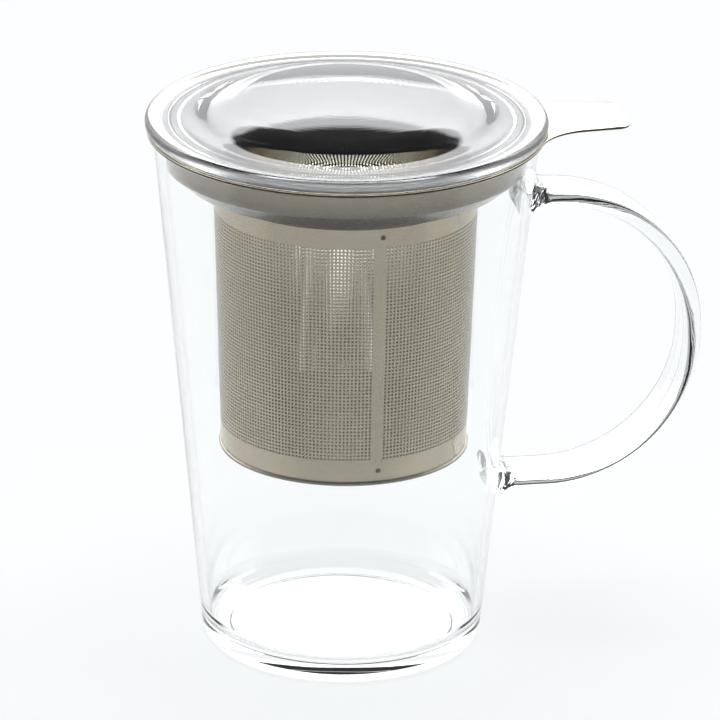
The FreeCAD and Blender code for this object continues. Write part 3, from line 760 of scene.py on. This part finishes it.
def make_strainer_base():
    """The turned-up rim with its crimp, and the disc of the same mesh inside it."""
    radius = STRAINER_FOOT_RADIUS - NECK_INSET
    edge = radius - PLAIN_EDGE
    outline = rounded((
        (edge - BASE_LAP, BASE_UNDER, 0),
        (STRAINER_FOOT_RADIUS + CRIMP_LIP, BASE_UNDER, CRIMP_ROUND),
        (STRAINER_FOOT_RADIUS + CRIMP_LIP, STRAINER_FOOT, CRIMP_ROUND),
        (radius, STRAINER_FOOT, 0),
        (radius, BASE_RIM_TOP, 0),
        (radius - BAND_SHEET, BASE_RIM_TOP, 0),
        (radius - BAND_SHEET, BASE_UNDER + BAND_SHEET, BASE_BEND),
        (edge - BASE_LAP, BASE_UNDER + BAND_SHEET, 0),
    ), steps=4)
    verts, faces = lathe(outline, around=160)
    turn_faces_out(add_piece("strainer_base_rim", verts, faces, ETCHED_STEEL, "infuser",
                             "etched_steel", "strainer_base"))

    verts, faces, index = [], [], {}

    def point(kind, across, up, side):
        """The number of a point of the disc, kept inside its edge and made when first asked for."""
        key = (kind, across, up, side)
        if key not in index:
            index[key] = len(verts)
            place = Vector((across, up)) * HOLE_PITCH
            if place.length > edge:
                place = place.normalized() * edge
            verts.append((place.x, place.y, BASE_UNDER + (BAND_SHEET if side == 0 else 0.0)))
        return index[key]

    half_count = int(edge / HOLE_PITCH)
    for column in range(-half_count - 2, half_count + 2):
        for row in range(-half_count - 2, half_count + 2):
            corners = [Vector((column + across, row + up)).length * HOLE_PITCH for across, up in SQUARE]
            if min(corners) < edge:
                add_cell(faces, point, column, row, max(corners) < edge - UNHOLED_RING)
    add_piece("strainer_base_mesh", verts, faces, ETCHED_STEEL, "infuser", "etched_steel",
              "strainer_base", smooth=False)


make_cup()
make_handle()
make_lid()
make_collar()
make_strainer_wall()
make_strainer_base()


# Stage: a pale table, a studio of soft light and the photograph's camera

OBJECT_TURN = math.radians(10.0)
TABLE_GLOW = 0.6
CARD_EDGE = -62 * MM
CARD_FADE = 60 * MM
CARD_TONE = 0.8
TABLE_REACH = 6000 * MM

WALL_HALF_WIDTH = math.radians(85.0)
SIDE_FADE = math.radians(30.0)
WALL_TOP = math.radians(37.0)
OVERHEAD_FOOT = math.radians(66.0)
EDGE_BLUR = math.radians(3.0)
WALL_LIGHT = 1.0
WALL_RISE = 1.6
WALL_CROWN = 14.0
OVERHEAD_LIGHT = 3.0
ROOM_LIGHT = 0.12
LOW_LIGHT = 0.45
LOW_LIGHT_TOP = math.radians(22.0)
WALL_ON_TABLE = 0.25

CAMERA_AWAY = 1253.6 * MM
CAMERA_UP = 567.5 * MM
CAMERA_PITCH = math.radians(21.725)
CAMERA_YAW = math.radians(0.168)
CAMERA_ROLL = math.radians(0.708)
PICTURE_WIDTH = 720
FOCAL_PIXELS = 5832.5
SENSOR_WIDTH = 36.0


def make_floor():
    """A matt white table that glows softly for the eye, with a greyer card on the camera's side."""
    mesh = bpy.data.meshes.new("table")
    corners = [((2 * across - 1) * TABLE_REACH, (2 * away - 1) * TABLE_REACH, 0) for across, away in SQUARE]
    mesh.from_pydata(corners, [], [(0, 1, 2, 3)])
    material, tree, shader = new_material("pale table")
    place = add_node(tree, "ShaderNodeTexCoord")
    turned = add_node(tree, "ShaderNodeMapping", links={"Vector": place.outputs["Object"]})
    turned.inputs["Rotation"].default_value = (0.0, 0.0, OBJECT_TURN)
    split = add_node(tree, "ShaderNodeSeparateXYZ", links={"Vector": turned.outputs["Vector"]})
    pale = smooth_band(tree, split.outputs["Y"], CARD_EDGE - CARD_FADE, CARD_EDGE, CARD_TONE, 1.0)
    cloth = add_node(tree, "ShaderNodeMix", settings={"data_type": "RGBA", "blend_type": "MULTIPLY"})
    cloth.inputs[0].default_value = 1.0
    cloth.inputs[6].default_value = linear("#f4f5f6")
    tree.links.new(pale, cloth.inputs[7])
    tree.links.new(cloth.outputs[2], shader.inputs["Base Color"])
    shader.inputs["Roughness"].default_value = 0.6
    shader.inputs["Specular IOR Level"].default_value = 0.2
    ray = add_node(tree, "ShaderNodeLightPath")
    seen = combine(tree, "MAXIMUM", ray.outputs["Is Camera Ray"], ray.outputs["Is Glossy Ray"])
    seen = combine(tree, "MAXIMUM", seen, ray.outputs["Is Transmission Ray"])
    glow = add_node(tree, "ShaderNodeEmission", links={"Strength": pale})
    glow.inputs["Color"].default_value = linear("#fcfdfd")
    mix = add_node(tree, "ShaderNodeMixShader",
                   links={"Fac": combine(tree, "MULTIPLY", seen, TABLE_GLOW)})
    tree.links.new(shader.outputs[0], mix.inputs[1])
    tree.links.new(glow.outputs[0], mix.inputs[2])
    tree.links.new(mix.outputs[0], tree.nodes["Material Output"].inputs["Surface"])
    mesh.materials.append(material)
    floor = bpy.data.objects.new("table", mesh)
    bpy.context.scene.collection.objects.link(floor)


def make_world():
    """A dim studio with a bright white wall behind the mug and a softbox high over it."""
    world = bpy.data.worlds.new("studio")
    bpy.context.scene.world = world
    world.use_nodes = True
    tree = world.node_tree
    background = tree.nodes["Background"]
    place = add_node(tree, "ShaderNodeTexCoord")
    turned = add_node(tree, "ShaderNodeMapping", links={"Vector": place.outputs["Generated"]})
    turned.inputs["Rotation"].default_value = (0.0, 0.0, OBJECT_TURN)
    split = add_node(tree, "ShaderNodeSeparateXYZ", links={"Vector": turned.outputs["Vector"]})
    away, up = split.outputs["Y"], split.outputs["Z"]
    level = combine(tree, "SQRT", combine(tree, "SUBTRACT", 1.0, combine(tree, "MULTIPLY", up, up)))
    facing_back = combine(tree, "DIVIDE", away, level)
    in_width = smooth_band(tree, facing_back, math.cos(WALL_HALF_WIDTH + SIDE_FADE),
                           math.cos(WALL_HALF_WIDTH))
    under_top = smooth_band(tree, up, math.sin(WALL_TOP), math.sin(WALL_TOP + EDGE_BLUR), 1.0, 0.0)
    wall = combine(tree, "MULTIPLY", in_width, under_top)
    above = combine(tree, "MAXIMUM", up, 0.0)
    rise = combine(tree, "MULTIPLY", above, WALL_RISE)
    crown = combine(tree, "MULTIPLY", combine(tree, "POWER", above, 3.0), WALL_CROWN)
    glow = combine(tree, "ADD", combine(tree, "ADD", rise, crown), WALL_LIGHT)
    wall = combine(tree, "MULTIPLY", wall, glow)
    room = smooth_band(tree, up, math.sin(LOW_LIGHT_TOP), math.sin(LOW_LIGHT_TOP + SIDE_FADE),
                       LOW_LIGHT, ROOM_LIGHT)
    mirrored = combine(tree, "ADD", wall, room)
    overhead = smooth_band(tree, up, math.sin(OVERHEAD_FOOT), math.sin(OVERHEAD_FOOT + EDGE_BLUR),
                           0.0, OVERHEAD_LIGHT)
    ray = add_node(tree, "ShaderNodeLightPath")
    lighting = combine(tree, "MULTIPLY", overhead, ray.outputs["Is Diffuse Ray"])
    held_back = combine(tree, "MULTIPLY", ray.outputs["Is Diffuse Ray"], 1.0 - WALL_ON_TABLE)
    mirrored = combine(tree, "MULTIPLY", mirrored, combine(tree, "SUBTRACT", 1.0, held_back))
    total = combine(tree, "ADD", mirrored, lighting)
    tree.links.new(total, background.inputs["Strength"])
    background.inputs["Color"].default_value = linear("#fcfdff")


def make_camera():
    """The camera in front of the mug, looking a little down on it."""
    forward = Vector((math.sin(CAMERA_YAW) * math.cos(CAMERA_PITCH),
                      math.cos(CAMERA_YAW) * math.cos(CAMERA_PITCH), -math.sin(CAMERA_PITCH)))
    right = Vector((math.cos(CAMERA_YAW), -math.sin(CAMERA_YAW), 0.0))
    above = right.cross(forward)
    right_rolled = right * math.cos(CAMERA_ROLL) + above * math.sin(CAMERA_ROLL)
    above_rolled = above * math.cos(CAMERA_ROLL) - right * math.sin(CAMERA_ROLL)
    basis = Matrix((right_rolled, above_rolled, -forward)).transposed().to_4x4()
    place = Matrix.Translation(Vector((0.0, -CAMERA_AWAY, CAMERA_UP))) @ basis
    data = bpy.data.cameras.new("camera")
    data.sensor_width = SENSOR_WIDTH
    data.lens = FOCAL_PIXELS * SENSOR_WIDTH / PICTURE_WIDTH
    data.clip_end = 50.0
    camera = bpy.data.objects.new("camera", data)
    bpy.context.scene.collection.objects.link(camera)
    camera.matrix_world = Matrix.Rotation(-OBJECT_TURN, 4, "Z") @ place
    bpy.context.scene.camera = camera


make_floor()
make_world()
make_camera()
bpy.context.scene.view_settings.view_transform = "Standard"
